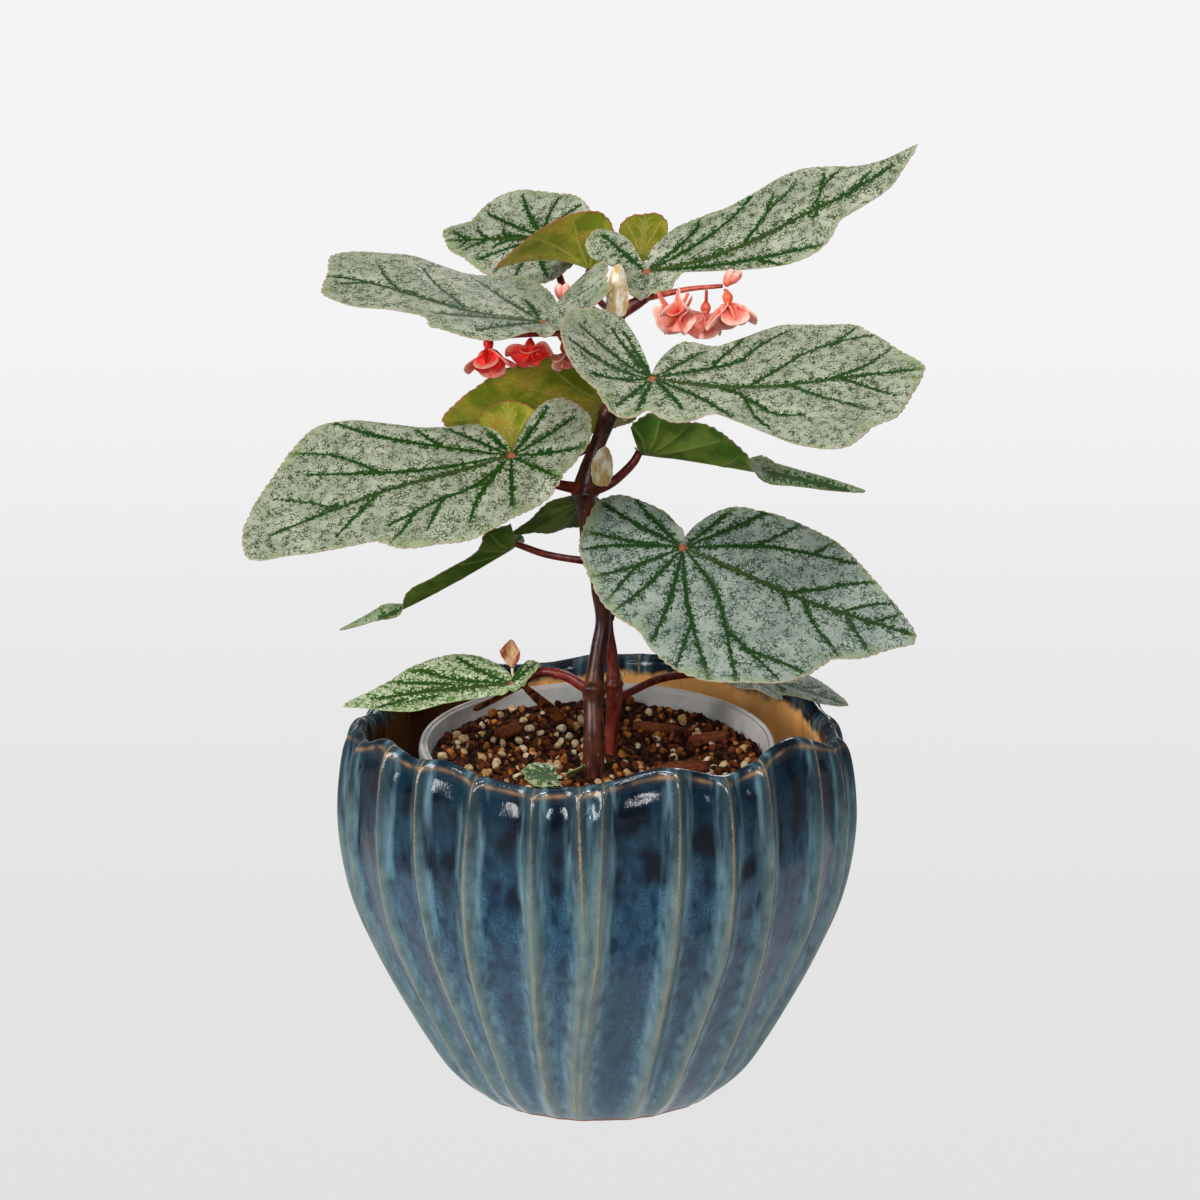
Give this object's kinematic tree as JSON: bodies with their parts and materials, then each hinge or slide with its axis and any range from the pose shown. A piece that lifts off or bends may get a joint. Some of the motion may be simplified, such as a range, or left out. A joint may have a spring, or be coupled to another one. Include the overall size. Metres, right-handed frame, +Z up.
{
  "type": "potted begonia",
  "caption": "Cane begonia with silver-speckled, toothed leaves and small salmon flowers, in a translucent nursery pot inside a ridged blue ceramic cachepot with a waved rim.",
  "frame": {"origin": "middle of the cachepot's underside, on the surface it stands on", "axes": "+Z up along the canes, -Y to the front, the side that the picture shows, and +X to the right seen from the front"},
  "size_m": [0.2157, 0.1913, 0.3203],
  "materials": {
    "glazed_ceramic": "glossy reactive ceramic glaze, opaque, unglazed at the foot",
    "translucent_plastic": "thin milky plastic, satin",
    "potting_mix": "moist bark mix with pumice granules, rough",
    "cane": "smooth maroon stem, satin",
    "leaf_silver": "silver speckle over dark green, satin",
    "leaf_green": "green leaf, satin",
    "leaf_olive": "yellow-green leaf underside, satin",
    "papery_sheath": "dry papery skin, matt",
    "dry_leaf": "withered leaf, matt",
    "petal_salmon": "soft waxy petal",
    "petal_red": "soft waxy petal"
  },
  "bodies": {
    "root": {"cachepot": "glazed_ceramic", "nursery_pot": "translucent_plastic", "potting_mix": "potting_mix", "main_cane": "cane", "second_cane": "cane", "leaf_lower_right": "leaf_silver", "leaf_upper_right": "leaf_silver", "leaf_left": "leaf_silver", "leaf_upper_left": "leaf_silver", "leaf_top_right": "leaf_silver", "leaf_top_back": "leaf_silver", "leaf_top_folded": "leaf_olive", "leaf_top_young": "leaf_olive", "leaf_back_olive": "leaf_olive", "leaf_small_olive": "leaf_olive", "leaf_right_folded": "leaf_green", "leaf_left_folded": "leaf_green", "leaf_inner_dark": "leaf_green", "leaf_low_left": "leaf_green", "leaf_rim_right": "leaf_silver", "seedling": "leaf_green", "stipule_top": "papery_sheath", "stipule_middle": "papery_sheath", "stipule_upper": "papery_sheath", "bract_low": "dry_leaf", "leaf_withered": "dry_leaf", "flower_right_near": "petal_salmon", "flower_right_middle": "petal_salmon", "flower_right_far": "petal_salmon", "flower_left_outer": "petal_red", "flower_left_middle": "petal_red", "flower_left_inner": "petal_salmon", "bud_right": "petal_salmon", "bud_left": "petal_salmon", "bud_middle": "petal_salmon"}
  },
  "joints": []
}
